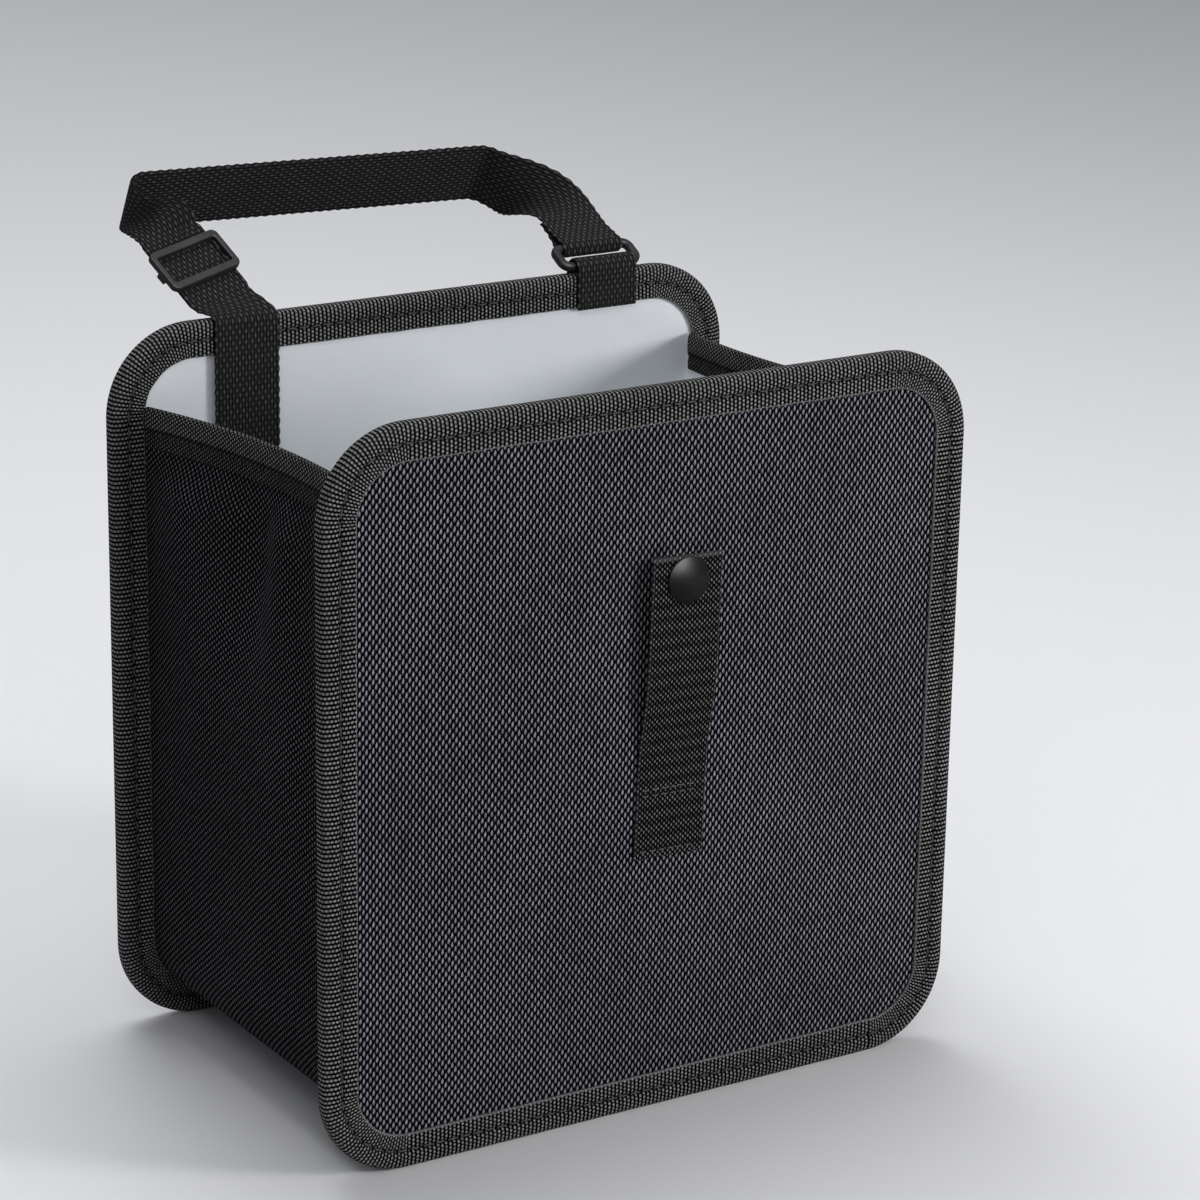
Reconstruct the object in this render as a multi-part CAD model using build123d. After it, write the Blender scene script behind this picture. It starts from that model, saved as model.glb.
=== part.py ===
from build123d import *
import math
import os

# Foldable sewn bin that hangs behind a car seat.
# Build frame: +X right seen from the front, +Y to the back, +Z up, front face at Y = 0, base at Z = 0.
# All sizes in millimetres.

# Stiffened panels
panel_width = 240.0
panel_height = 245.0
bin_depth = 150.0
corner_radius = 30.0
cover_thickness = 0.8
board_thickness = 2.0
lining_thickness = 0.6

# Binding tape round the panel edges
tape_thickness = 0.8
binding_width = 12.0
binding_edge_round = 1.9
cut_margin = 1.0

# Gusset: left side, bottom and right side in one strip of cloth
gusset_thickness = 0.8
gusset_front_drop = 19.0
gusset_back_drop = 27.0
crease_depth = 8.0
crease_foot_drop = 105.0
crease_margin = 2.0
crease_bow = 0.4
hem_width = 12.5
hem_thickness = 0.7

# Webbing
webbing_thickness = 1.2
strap_width = 23.5
contact_clearance = 0.05

# Hanging strap: sewn end, straight run to the buckle, headrest posts
strap_spacing = 141.0
strap_inside_length = 62.0
sewn_length = 12.0
sewn_step_length = 6.0
run_slope = 40.0
run_tilt = 16.0
turn_length = 9.0
turn_shift = 6.0
run_length = 29.0
post_radius = 6.5
post_clearance = 0.1
post_dent = 0.1
post_lean = 28.0
post_spacing = 130.0
post_offset_x = -19.0
post_behind = 40.0
post_rise = 27.5
right_post_drop = 3.0
left_wrap_end = 228.0
left_twist_lead = 0.6
right_wrap_end = 40.0
wrap_step = 7.0
end_loop_length = 15.0

# Slide buckle with a cranked middle bar
buckle_along_run = 15.0
buckle_side_clearance = 0.45
buckle_gap = 0.35
buckle_rail = 2.2
buckle_length = 16.4
buckle_bar = 2.9
buckle_thickness = 2.1
buckle_middle_bar = 3.4
buckle_middle_thickness = 1.1
buckle_lug = 1.3
buckle_corner = 2.4
buckle_edge_round = 0.6

# Ring and its sewn tab
ring_bar = 3.2
ring_bar_round = 1.3
ring_bar_spacing = 9.4
ring_side_clearance = 1.6
ring_corner = 4.4
ring_slope = 28.0
ring_play = 0.1
tab_rise = 1.2
tab_overlap = 0.6

# Closure strap on the front panel
closure_width = 26.5
closure_length = 102.0
closure_top_drop = 55.0
closure_base_x = 6.2
closure_tilt = 1.7
closure_sewn_length = 30.0
closure_rise_length = 34.0
closure_end_margin = 8.0

# Snap fastener
snap_cap_diameter = 15.4
snap_cap_height = 3.6
snap_cap_rim = 0.8
snap_shank_radius = 1.5
snap_socket_diameter = 12.6
snap_socket_height = 2.4
snap_socket_roof = 0.5
snap_stud_diameter = 11.6
snap_stud_base = 0.9
snap_ball_radius = 2.2
snap_neck_radius = 1.8
snap_ball_height = 1.9
snap_post_diameter = 11.0
snap_post_flange = 0.8
snap_post_radius = 1.7
snap_clearance = 0.1

X_DIR = Vector(1, 0, 0)
Y_DIR = Vector(0, 1, 0)
Z_DIR = Vector(0, 0, 1)

# Layer stack of a panel, measured inward from the binding's outer face
cover_face = tape_thickness
board_face = cover_face + cover_thickness
lining_face = board_face + board_thickness
panel_inside = lining_face + lining_thickness
leg_face = panel_inside + gusset_thickness
panel_edge = leg_face + tape_thickness
gusset_half = panel_width / 2 - binding_width

# Heights below the panels' top edge
gusset_top_front = panel_height - gusset_front_drop
gusset_top_back = panel_height - gusset_back_drop
crease_foot = panel_height - crease_foot_drop
closure_base_height = panel_height - closure_top_drop - closure_length


def unit(v):
    return v * (1.0 / v.length)


def outline(inset):
    # Panel outline drawn inside its edge, standing on the base line
    shape = RectangleRounded(
        panel_width - 2 * inset, panel_height - 2 * inset, corner_radius - inset
    )
    return Pos(0, panel_height / 2) * shape


def slab(sketch, near, far):
    # Upright sheet between two depths
    return extrude(Plane.XZ.offset(-near) * sketch, -(far - near))


def to_back(shape):
    # Mirror a piece of the front panel to the back panel
    return mirror(shape, Plane.XZ.offset(-bin_depth / 2))


# Panels: cover, board and lining with their edges held in a folded tape
cover = slab(outline(tape_thickness), cover_face, board_face)
board = slab(outline(tape_thickness), board_face, lining_face)
lining = slab(outline(tape_thickness), lining_face, panel_inside)

binding = slab(outline(0), 0, panel_edge)
rims = binding.faces().sort_by(Axis.Y)[0].edges() + binding.faces().sort_by(Axis.Y)[-1].edges()
binding = fillet(rims, binding_edge_round)
binding -= slab(outline(binding_width), -cut_margin, panel_edge + cut_margin)
binding -= slab(outline(tape_thickness), cover_face, leg_face)

back_cover = to_back(cover)
back_board = to_back(board)
back_lining = to_back(lining)
back_binding = to_back(binding)


# Gusset: U-shaped below the crease, creased side walls above it
seam_front = panel_inside
seam_back = bin_depth - panel_inside
wall_span = seam_back - seam_front
middle = bin_depth / 2
bend_start = panel_edge + crease_margin


def wall_top(y):
    share = (y - seam_front) / wall_span
    return gusset_top_front + (gusset_top_back - gusset_top_front) * share


def inward(y, share):
    # How far the crease pulls a wall in at a depth, each half bowed slightly outward
    reach = max(0.0, 1 - abs(y - middle) / (middle - bend_start))
    return crease_depth * share * (1 - crease_bow) * reach + crease_depth * share * crease_bow * reach**3


def wall(outer, inner, start, foot_drop, rise):
    # One creased side wall: upright sections set from the front seam to the back seam
    half = (middle - bend_start) / 3
    stations = [start, bend_start, bend_start + half, middle - half, middle]
    stations += [bin_depth - y for y in reversed(stations[:-1])]
    sections = []
    for y in stations:
        top = wall_top(y) + rise
        foot = crease_foot if foot_drop is None else wall_top(y) - foot_drop
        pull_top = inward(y, (top - crease_foot) / (wall_top(y) - crease_foot))
        pull_foot = inward(y, (foot - crease_foot) / (wall_top(y) - crease_foot))
        corners = [
            Vector(outer - pull_foot, y, foot),
            Vector(outer - pull_top, y, top),
            Vector(inner - pull_top, y, top),
            Vector(inner - pull_foot, y, foot),
        ]
        sections.append(Face(Wire.make_polygon(corners, close=True)))
    return loft(sections, ruled=True)


def u_shell(inset_outer, inset_inner):
    # Left side, bottom and right side up to the foot of the crease
    ring = outline(inset_outer) - outline(inset_inner)
    window = Pos(0, crease_foot / 2) * Rectangle(2 * panel_width, crease_foot)
    return slab(ring & window, seam_front, seam_back)


def seam_flange(top):
    # Seam allowance turned outward into the binding
    ring = outline(tape_thickness) - outline(binding_width + gusset_thickness)
    window = Pos(0, top / 2) * Rectangle(2 * panel_width, top)
    return slab(ring & window, panel_inside, leg_face)


def left_of(shape):
    return mirror(shape, Plane.YZ)


gusset_inner_half = gusset_half - gusset_thickness
film_inner_half = gusset_inner_half - lining_thickness
film_inset = binding_width + gusset_thickness

cloth_wall = wall(gusset_half, gusset_inner_half, seam_front, None, 0)
gusset = u_shell(binding_width, film_inset) + cloth_wall + left_of(cloth_wall)
gusset += seam_flange(gusset_top_front)
gusset += to_back(seam_flange(gusset_top_back))
gusset = gusset - binding - back_binding

film_wall = wall(gusset_inner_half, film_inner_half, seam_front, None, 0)
gusset_lining = u_shell(film_inset, film_inset + lining_thickness)
gusset_lining += film_wall
gusset_lining += left_of(film_wall)
gusset_lining = gusset_lining - gusset - binding - back_binding

# Hems: tape folded over the top edge of each side wall
right_hem = wall(
    gusset_half + hem_thickness, film_inner_half - hem_thickness,
    panel_edge, hem_width, hem_thickness,
)
right_hem = right_hem - cloth_wall - film_wall
left_hem = left_of(right_hem)


# Webbing: rectangular sections set along a path and lofted
def section(point, along, across, width):
    facing = unit(along - across * along.dot(across))
    return Plane(origin=point, x_dir=across, z_dir=facing) * Rectangle(width, webbing_thickness)


def ribbon(frames, width):
    return loft([section(p, unit(d), a, width) for p, d, a in frames], ruled=True)


def blend_across(first, last, share):
    # Turn one direction evenly into another
    angle = math.acos(max(-1.0, min(1.0, first.dot(last))))
    if angle < 1e-6:
        return first
    part = first * math.sin((1 - share) * angle) + last * math.sin(share * angle)
    return unit(part)


def twist(first, last, steps, lead=1.0):
    # Smooth twisted stretch from one frame to another; a lead below 1 turns it sooner
    p0, d0, a0 = first
    p1, d1, a1 = last
    reach = (p1 - p0).length
    m0 = unit(d0) * reach
    m1 = unit(d1) * reach
    frames = [first]
    for i in range(1, steps):
        t = i / steps
        point = p0 * (2 * t**3 - 3 * t**2 + 1) + m0 * (t**3 - 2 * t**2 + t)
        point = point + p1 * (-2 * t**3 + 3 * t**2) + m1 * (t**3 - t**2)
        along = p0 * (6 * t**2 - 6 * t) + m0 * (3 * t**2 - 4 * t + 1)
        along = along + p1 * (-6 * t**2 + 6 * t) + m1 * (3 * t**2 - 2 * t)
        turned_share = 3 * t ** (2 * lead) - 2 * t ** (3 * lead)
        frames.append((point, unit(along), blend_across(unit(a0), unit(a1), turned_share)))
    return frames + [last]


half_web = webbing_thickness / 2 + contact_clearance
strap_x = -strap_spacing / 2
ring_x = strap_spacing / 2
back_inside = bin_depth - panel_inside
leg_inside = bin_depth - panel_edge

# End sewn to the back lining, then straight up in front of the binding
sewn_foot = panel_height - strap_inside_length
sewn_top = sewn_foot + sewn_length
sewn = [
    (Vector(strap_x, back_inside - half_web, sewn_foot), Z_DIR, X_DIR),
    (Vector(strap_x, back_inside - half_web, sewn_top), Z_DIR, X_DIR),
    (Vector(strap_x, leg_inside - half_web, sewn_top + sewn_step_length), Z_DIR, X_DIR),
]

# Bend over the rounded top edge of the back binding
bend_centre = Vector(strap_x, leg_inside + binding_edge_round, panel_height - binding_edge_round)
bend_radius = binding_edge_round + half_web
bend_steps = 5
bend = []
for i in range(bend_steps + 1):
    turn = math.radians((90 - run_slope) * i / bend_steps)
    offset = Vector(0, -math.cos(turn), math.sin(turn)) * bend_radius
    bend.append((bend_centre + offset, Vector(0, math.sin(turn), math.cos(turn)), X_DIR))

# Straight run to the buckle, swung sideways towards the left post
slope = math.radians(run_slope)
uphill = Vector(0, math.cos(slope), math.sin(slope))
tilt = math.radians(run_tilt)
run_across = X_DIR * math.cos(tilt) + uphill * math.sin(tilt)
run_along = uphill * math.cos(tilt) - X_DIR * math.sin(tilt)
run_face = run_across.cross(run_along)
turn_end = bend[-1][0] + uphill * turn_length - X_DIR * turn_shift
run_end = turn_end + run_along * run_length
run = [(turn_end, run_along, run_across), (run_end, run_along, run_across)]

# Wraps round the two headrest posts, which lean with the seat back
lean = math.radians(post_lean)
post_axis = Vector(0, -math.sin(lean), math.cos(lean))
post_back = Vector(0, math.cos(lean), math.sin(lean))
post_y = bin_depth + post_behind
post_height = panel_height + post_rise
left_post = Vector(post_offset_x - post_spacing / 2, post_y, post_height)
right_post = Vector(post_offset_x + post_spacing / 2, post_y, post_height - right_post_drop)
post_bore = post_radius + post_clearance
wrap_radius = post_bore - post_dent + webbing_thickness / 2


def wrap(centre, start, end):
    steps = max(2, round(abs(start - end) / wrap_step))
    frames = []
    for i in range(steps + 1):
        a = math.radians(start + (end - start) * i / steps)
        point = centre + X_DIR * (wrap_radius * math.cos(a)) + post_back * (wrap_radius * math.sin(a))
        along = X_DIR * math.sin(a) - post_back * math.cos(a)
        frames.append((point, along, post_axis))
    return frames


def post_hole(centre):
    # Round room for a post, which dents the webbing that is pulled onto it
    return Plane(origin=centre, x_dir=X_DIR, z_dir=post_axis) * Cylinder(post_bore, 2 * strap_width)


left_wrap = wrap(left_post, left_wrap_end, 90)
right_wrap = wrap(right_post, 90, right_wrap_end)

# Ring place: its lower bar hangs in the arch of the sewn tab
arch_radius = (panel_edge + webbing_thickness) / 2
arch_centre = Vector(ring_x, bin_depth - panel_edge / 2, panel_height + tab_rise)
bar_reach = (ring_bar / 2 - ring_bar_round) * math.sqrt(2) + ring_bar_round
low_bar = arch_centre + Z_DIR * (arch_radius - webbing_thickness / 2 - bar_reach - ring_play)
ring_rise = math.radians(ring_slope)
ring_up = Vector(0, math.cos(ring_rise), math.sin(ring_rise))
ring_face = X_DIR.cross(ring_up)
high_bar = low_bar + ring_up * ring_bar_spacing

# Free end: round the ring's upper bar and sewn back under itself
loop_radius = bar_reach + half_web
layer = half_web
loop_reach = 4 * loop_radius
loop_start = math.degrees(
    math.atan2(layer, loop_reach) + math.acos(loop_radius / math.hypot(loop_reach, layer))
)
end_loop = [
    (high_bar + ring_up * end_loop_length + ring_face * layer, -ring_up, X_DIR),
    (high_bar + ring_up * loop_reach + ring_face * layer, -ring_up, X_DIR),
]
loop_steps = 12
for i in range(loop_steps + 1):
    a = math.radians(loop_start + (360 - 2 * loop_start) * i / loop_steps)
    point = high_bar + ring_up * (loop_radius * math.cos(a)) + ring_face * (loop_radius * math.sin(a))
    end_loop.append((point, ring_face * math.cos(a) - ring_up * math.sin(a), X_DIR))
end_loop.append((high_bar + ring_up * loop_reach - ring_face * layer, ring_up, X_DIR))
end_loop.append((high_bar + ring_up * end_loop_length - ring_face * layer, ring_up, X_DIR))

near_end = sewn + bend + twist(bend[-1], run[0], 4)[1:]
loop_path = run + twist(run[-1], left_wrap[0], 14, left_twist_lead)[1:] + left_wrap[1:]
loop_path += right_wrap + twist(right_wrap[-1], end_loop[0], 16)[1:] + end_loop[1:]
hanging_strap = ribbon(near_end, strap_width) + ribbon(loop_path, strap_width)
hanging_strap = hanging_strap - post_hole(left_post) - post_hole(right_post)

# Tab that straddles the bound edge: inside leg, arch over the ring bar, outside leg
leg_foot = panel_height - binding_width - tab_overlap
arch_top = panel_height + tab_rise


def tab_profile(radius, foot):
    legs = Pos(0, (arch_top + foot) / 2) * Rectangle(2 * radius, arch_top - foot)
    return legs + Pos(0, arch_top) * Circle(radius)


inner_radius = panel_edge / 2 + contact_clearance
outer_radius = inner_radius + webbing_thickness
tab_shape = tab_profile(outer_radius, leg_foot) - tab_profile(inner_radius, leg_foot - cut_margin)
tab_plane = Plane(
    origin=(ring_x - strap_width / 2, bin_depth - panel_edge / 2, 0),
    x_dir=(0, 1, 0),
    z_dir=(1, 0, 0),
)
ring_tab = extrude(tab_plane * tab_shape, strap_width)

# Ring: moulded loop with two round-edged bars
ring_window = strap_width + 2 * ring_side_clearance
ring_plane = Plane(origin=(low_bar + high_bar) * 0.5, x_dir=X_DIR, z_dir=ring_face)
ring_shape = RectangleRounded(
    ring_window + 2 * ring_bar, ring_bar_spacing + ring_bar, ring_corner
) - RectangleRounded(ring_window, ring_bar_spacing - ring_bar, ring_corner - ring_bar)
strap_ring = extrude(ring_plane.offset(-ring_bar / 2) * ring_shape, ring_bar)
strap_ring = fillet(strap_ring.edges().filter_by(ring_plane), ring_bar_round)

# Slide buckle: frame over the webbing, middle bar under it, joined by lugs outside its edges
buckle_centre = turn_end + run_along * buckle_along_run
buckle_window = strap_width + 2 * buckle_side_clearance
buckle_width = buckle_window + 2 * buckle_rail
frame_foot = webbing_thickness / 2 + buckle_gap
buckle_plane = Plane(origin=buckle_centre, x_dir=run_across, z_dir=run_face)
frame_shape = RectangleRounded(buckle_width, buckle_length, buckle_corner) - RectangleRounded(
    buckle_window, buckle_length - 2 * buckle_bar, buckle_corner / 3
)
slide_buckle = extrude(buckle_plane.offset(frame_foot) * frame_shape, buckle_thickness)
upper_rims = slide_buckle.faces().sort_by(Axis(buckle_centre, run_face))[-1].edges()
slide_buckle = fillet(upper_rims, buckle_edge_round)
lug = Rectangle(buckle_lug, buckle_middle_bar)
lug_spread = (buckle_window + buckle_lug) / 2
lugs = Pos(lug_spread, 0) * lug + Pos(-lug_spread, 0) * lug
lug_foot = -frame_foot - buckle_middle_thickness
slide_buckle += extrude(buckle_plane.offset(lug_foot) * lugs, frame_foot - lug_foot + buckle_edge_round)
bar_shape = Rectangle(buckle_window + 2 * buckle_lug, buckle_middle_bar)
slide_buckle += extrude(buckle_plane.offset(lug_foot) * bar_shape, buckle_middle_thickness)

# Closure strap: sewn flat at its foot, then lifted by the snap under its free end
snap_lift = snap_stud_base + 2 * snap_clearance + snap_socket_height
lean_over = math.radians(closure_tilt)
closure_up = Vector(math.sin(lean_over), 0, math.cos(lean_over))
closure_across = Vector(math.cos(lean_over), 0, -math.sin(lean_over))
closure_base = Vector(closure_base_x, cover_face - webbing_thickness / 2, closure_base_height)
lifted = closure_base - Y_DIR * snap_lift
rise_end = closure_sewn_length + closure_rise_length
foot_frame = (closure_base + closure_up * closure_sewn_length, closure_up, closure_across)
lift_frame = (lifted + closure_up * rise_end, closure_up, closure_across)
tip_frame = (lifted + closure_up * closure_length, closure_up, closure_across)
closure_path = [(closure_base, closure_up, closure_across)]
closure_path += twist(foot_frame, lift_frame, 8) + [tip_frame]
closure_strap = ribbon(closure_path, closure_width)

# Snap fastener on an axis square to the front panel
snap_place = closure_base + closure_up * (closure_length - closure_end_margin)
snap_plane = Plane(origin=(snap_place.X, cover_face, snap_place.Z), x_dir=X_DIR, z_dir=-Y_DIR)


def turned(points):
    # Revolve a half profile of (radius, height above the cover)
    profile = Plane.XZ * make_face(Polyline(*points, close=True))
    return snap_plane * revolve(profile, Axis.Z)


def drilled(shape, radius, deep, high):
    hole = Pos(0, 0, deep) * Cylinder(
        radius, high - deep, align=(Align.CENTER, Align.CENTER, Align.MIN)
    )
    return shape - snap_plane * hole


socket_foot = snap_stud_base + 2 * snap_clearance
socket_top = socket_foot + snap_socket_height
web_top = socket_top + webbing_thickness
cavity_top = socket_top - snap_socket_roof
ball_top = snap_stud_base + snap_ball_height
cap_radius = snap_cap_diameter / 2
shank_hole = snap_shank_radius + contact_clearance
rivet_hole = snap_post_radius + contact_clearance

dome_rise = snap_cap_height - snap_cap_rim
dome_radius = (cap_radius**2 + dome_rise**2) / (2 * dome_rise)
dome_turn = math.degrees(math.asin(cap_radius / dome_radius))
dome_line = CenterArc((0, web_top + snap_cap_height - dome_radius), dome_radius, 90 - dome_turn, dome_turn)
cap_sides = Polyline(
    (0, web_top + snap_cap_height), (0, cavity_top), (snap_shank_radius, cavity_top),
    (snap_shank_radius, web_top), (cap_radius - 0.3, web_top), (cap_radius, web_top + 0.3),
    (cap_radius, web_top + snap_cap_rim),
)
snap_cap = snap_plane * revolve(Plane.XZ * make_face(dome_line + cap_sides), Axis.Z)

socket_radius = snap_socket_diameter / 2
cavity_radius = snap_ball_radius + snap_clearance
snap_socket = turned([
    (cavity_radius, socket_foot), (socket_radius - 0.5, socket_foot),
    (socket_radius, socket_foot + 0.5), (socket_radius, socket_top), (shank_hole, socket_top),
    (shank_hole, cavity_top), (cavity_radius, cavity_top),
])

snap_stud = turned([
    (rivet_hole, 0), (snap_stud_diameter / 2, 0), (snap_stud_diameter / 2, snap_stud_base - 0.3),
    (snap_stud_diameter / 2 - 0.5, snap_stud_base), (snap_neck_radius, snap_stud_base),
    (snap_neck_radius, snap_stud_base + 0.5), (snap_ball_radius, ball_top - 0.6),
    (snap_ball_radius - 0.4, ball_top), (0, ball_top), (0, snap_stud_base * 0.6),
    (rivet_hole, snap_stud_base * 0.6),
])

panel_foot = -(panel_inside - cover_face)
snap_post = turned([
    (0, panel_foot - snap_post_flange), (snap_post_diameter / 2 - 0.3, panel_foot - snap_post_flange),
    (snap_post_diameter / 2, panel_foot), (snap_post_radius, panel_foot),
    (snap_post_radius, snap_stud_base * 0.55), (0, snap_stud_base * 0.55),
])

closure_strap = drilled(closure_strap, shank_hole, socket_top - cut_margin, web_top + cut_margin)
front_cover = drilled(cover, rivet_hole, panel_foot - cut_margin, cut_margin)
front_board = drilled(board, rivet_hole, panel_foot - cut_margin, cut_margin)
front_lining = drilled(lining, rivet_hole, panel_foot - cut_margin, cut_margin)

nodes = {
    "front_cover": front_cover,
    "front_board": front_board,
    "front_lining": front_lining,
    "front_binding": binding,
    "back_cover": back_cover,
    "back_board": back_board,
    "back_lining": back_lining,
    "back_binding": back_binding,
    "gusset": gusset,
    "gusset_lining": gusset_lining,
    "left_hem": left_hem,
    "right_hem": right_hem,
    "closure_strap": closure_strap,
    "snap_cap": snap_cap,
    "snap_socket": snap_socket,
    "snap_stud": snap_stud,
    "snap_post": snap_post,
    "hanging_strap": hanging_strap,
    "slide_buckle": slide_buckle,
    "strap_ring": strap_ring,
    "ring_tab": ring_tab,
}

# Origin at the middle of the whole object's base
low_y = min(shape.bounding_box().min.Y for shape in nodes.values())
high_y = max(shape.bounding_box().max.Y for shape in nodes.values())
to_origin = Pos(0, -(low_y + high_y) / 2, 0)

os.makedirs("parts", exist_ok=True)
for name, shape in nodes.items():
    export_step(to_origin * shape, "parts/" + name + ".step")
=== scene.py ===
import math

import bpy
from mathutils import Matrix, Vector, noise


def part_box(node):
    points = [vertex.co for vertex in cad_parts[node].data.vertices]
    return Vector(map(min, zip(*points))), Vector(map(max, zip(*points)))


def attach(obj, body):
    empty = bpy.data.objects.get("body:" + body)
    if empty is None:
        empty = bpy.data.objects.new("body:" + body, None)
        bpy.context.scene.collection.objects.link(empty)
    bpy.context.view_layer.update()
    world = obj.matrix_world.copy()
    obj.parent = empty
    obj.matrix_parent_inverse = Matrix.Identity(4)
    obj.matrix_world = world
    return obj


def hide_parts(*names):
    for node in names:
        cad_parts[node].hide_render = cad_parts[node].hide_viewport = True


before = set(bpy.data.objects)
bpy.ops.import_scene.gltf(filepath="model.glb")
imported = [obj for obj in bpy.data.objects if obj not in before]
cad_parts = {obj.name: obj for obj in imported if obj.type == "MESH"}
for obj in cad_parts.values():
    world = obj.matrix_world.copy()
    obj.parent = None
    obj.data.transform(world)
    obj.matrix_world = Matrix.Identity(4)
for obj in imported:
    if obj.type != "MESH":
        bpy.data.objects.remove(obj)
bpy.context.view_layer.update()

# Foldable sewn bin that hangs behind a car seat, dressed over its CAD frame.
# Shapes are worked out in millimetres and written to the meshes in metres.
MM = 0.001
SHARP_ANGLE = math.radians(50)
X_DIR = Vector((1, 0, 0))
Y_DIR = Vector((0, 1, 0))
Z_DIR = Vector((0, 0, 1))

# Panels: the outer sizes are read from the frame, the layers are those of the CAD
front_low, front_high = [Vector(corner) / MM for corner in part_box("front_binding")]
back_high = [Vector(corner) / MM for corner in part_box("back_binding")][1]
PANEL_WIDTH = front_high.x - front_low.x
PANEL_HEIGHT = front_high.z - front_low.z
FRONT_Y = front_low.y
DEPTH = back_high.y - front_low.y
PANEL_EDGE = front_high.y - front_low.y
MIDDLE = DEPTH / 2
CORNER_RADIUS = 30.0
CORNER_TURNS = 24
EDGE_STEPS = 70
TAPE = 0.8
COVER_FACE = TAPE
COVER = 0.8
LINING_FACE = 3.6
LINING = 0.6
PANEL_INSIDE = LINING_FACE + LINING
SHEET_INSET = TAPE + 0.2
SHEET_STEP = 4.0
SHEET_COLUMNS = 56
SHEET_TURNS = 12
SHEET_RIM = 14.0
SHEET_RIM_FADE = 12.0
SWELL_SIZE = 60.0
COVER_SWELL = 0.5
LINING_SWELL = 0.7

# Binding tape: folded over the panel's edge, pulled into a groove by its stitches
BINDING_WIDTH = 12.0
BINDING_ROUND = 1.9
STITCH_INSET = 6.3
STITCH_SINK = 0.3
TAPE_PUFF = 0.4
EDGE_PUFF = 0.15
TAPE_UNEVEN = 0.25
TAPE_UNEVEN_SIZE = 9.0
PRESS_CLEAR = 0.5
PRESS_FADE = 4.0

# Side walls and base
CLOTH = 0.8
WALL_HALF = PANEL_WIDTH / 2 - BINDING_WIDTH
GUSSET_TOP_FRONT = PANEL_HEIGHT - 19.0
GUSSET_TOP_BACK = PANEL_HEIGHT - 27.0
SEAM_FADE = 14.0
CREASE_FOOT = PANEL_HEIGHT - 105.0
CREASE_Y = MIDDLE - 4.0
CREASE_DEPTH = 6.2
CREASE_START = 15.0
CREASE_RISE = 75.0
CREASE_REACH_FRONT = 12.0
CREASE_REACH_BACK = 18.0
SIDE_FOLDS = ((0.4, -34.0, 14.0), (-0.35, 48.0, 16.0))  # strength, distance from the crease, reach
BELLY = 2.6
BELLY_HEIGHT = 118.0
BELLY_REACH = 50.0
BELLY_MARGIN = 6.0
BELLY_FADE = 40.0
SLACK_FADE = 25.0
SLACK_FOOT = 40.0
SLACK_SLOW = 0.9
SLACK_SLOW_SIZE = (45.0, 70.0)
SLACK_FOLD = 0.4
SLACK_FOLD_SIZE = (20.0, 120.0)
SLACK_LEAN = 0.35
UPPER_STEPS = 26
LOWER_STEPS = 24
ROUND_STEPS = 8
BASE_STEPS = 44
DEPTH_STEPS = 64

# Hems of the side walls
HEM = 0.7
HEM_WIDTH = 12.5
HEM_DEPTH = 7.0
HEM_BLEND = 3.0
HEM_FADE = 20.0
HEM_STITCH = 8.0
HEM_STITCH_OUT = 0.35
HEM_STEPS = 70

# Webbing
WEB = 1.2
WEB_STEP = 0.6
WEB_COLUMNS = 8
STRAP_WIDTH = 23.5
CONTACT = 0.05
HALF_WEB = WEB / 2 + CONTACT
SCALLOP = 0.45
SCALLOP_PITCH = 3.6
SCALLOP_RIM = 2.0
SNUG_SPREAD = 0.6
SNUG_RISE = 0.32

# Hanging strap: sewn inside the back panel, over its edge, through the slide buckle,
# round the two headrest posts and down to the ring
STRAP_X = -70.5
BACK_INSIDE = DEPTH - PANEL_INSIDE
LEG_INSIDE = DEPTH - PANEL_EDGE
STRAP_INSIDE = 62.0
STRAP_SEWN = 12.0
STRAP_STEP = 6.0
BEND_STEPS = 10
RUN_SLOPE = math.radians(40)
RUN_TILT = math.radians(16)
RUN_RISE = 9.0
RUN_SIDE = 6.0
RUN_LENGTH = 29.0
POST_LEAN = math.radians(28)
POST_BORE = 6.6
POST_BEHIND = 40.0
POST_RISE = 27.5
POST_MIDDLE = -19.0
POST_SPACING = 130.0
RIGHT_POST_DROP = 3.0
LEFT_WRAP = (228, 90, 28)  # first angle, last angle, steps
RIGHT_WRAP = (90, 40, 10)
LEFT_TWIST_STEPS = 28
LEFT_TWIST_LEAD = 0.6
LEFT_CUT_STEPS = 16
LEFT_CUT_FADE = 12
LEFT_LIFT = 3.0

# Ring and its tab
RING_X = 70.5
RING_SLOPE = math.radians(28)
RING_BAR = 4.7
RING_BAR_RADIUS = 1.72
LOOP_STEPS = 18
LOOP_TAIL = 15.0
TAB_FOOT = PANEL_HEIGHT - BINDING_WIDTH - 0.6
TAB_RISE = 1.2
TAB_LEG_STEPS = 8
TAB_ARCH_STEPS = 16

# Closure strap on the front panel
CLOSURE_WIDTH = 26.5
CLOSURE_LENGTH = 102.0
CLOSURE_RIB = 4.6
CLOSURE_TILT = math.radians(1.7)
CLOSURE_X = 6.2
CLOSURE_SEWN = 30.0
CLOSURE_RISE = 34.0
CLOSURE_STEPS = 20
SNAP_LIFT = 3.5
CLOSURE_FOOT = PANEL_HEIGHT - 55.0 - CLOSURE_LENGTH
CLOSURE_UP = Vector((math.sin(CLOSURE_TILT), 0, math.cos(CLOSURE_TILT)))
CLOSURE_ACROSS = Vector((math.cos(CLOSURE_TILT), 0, -math.sin(CLOSURE_TILT)))

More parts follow.
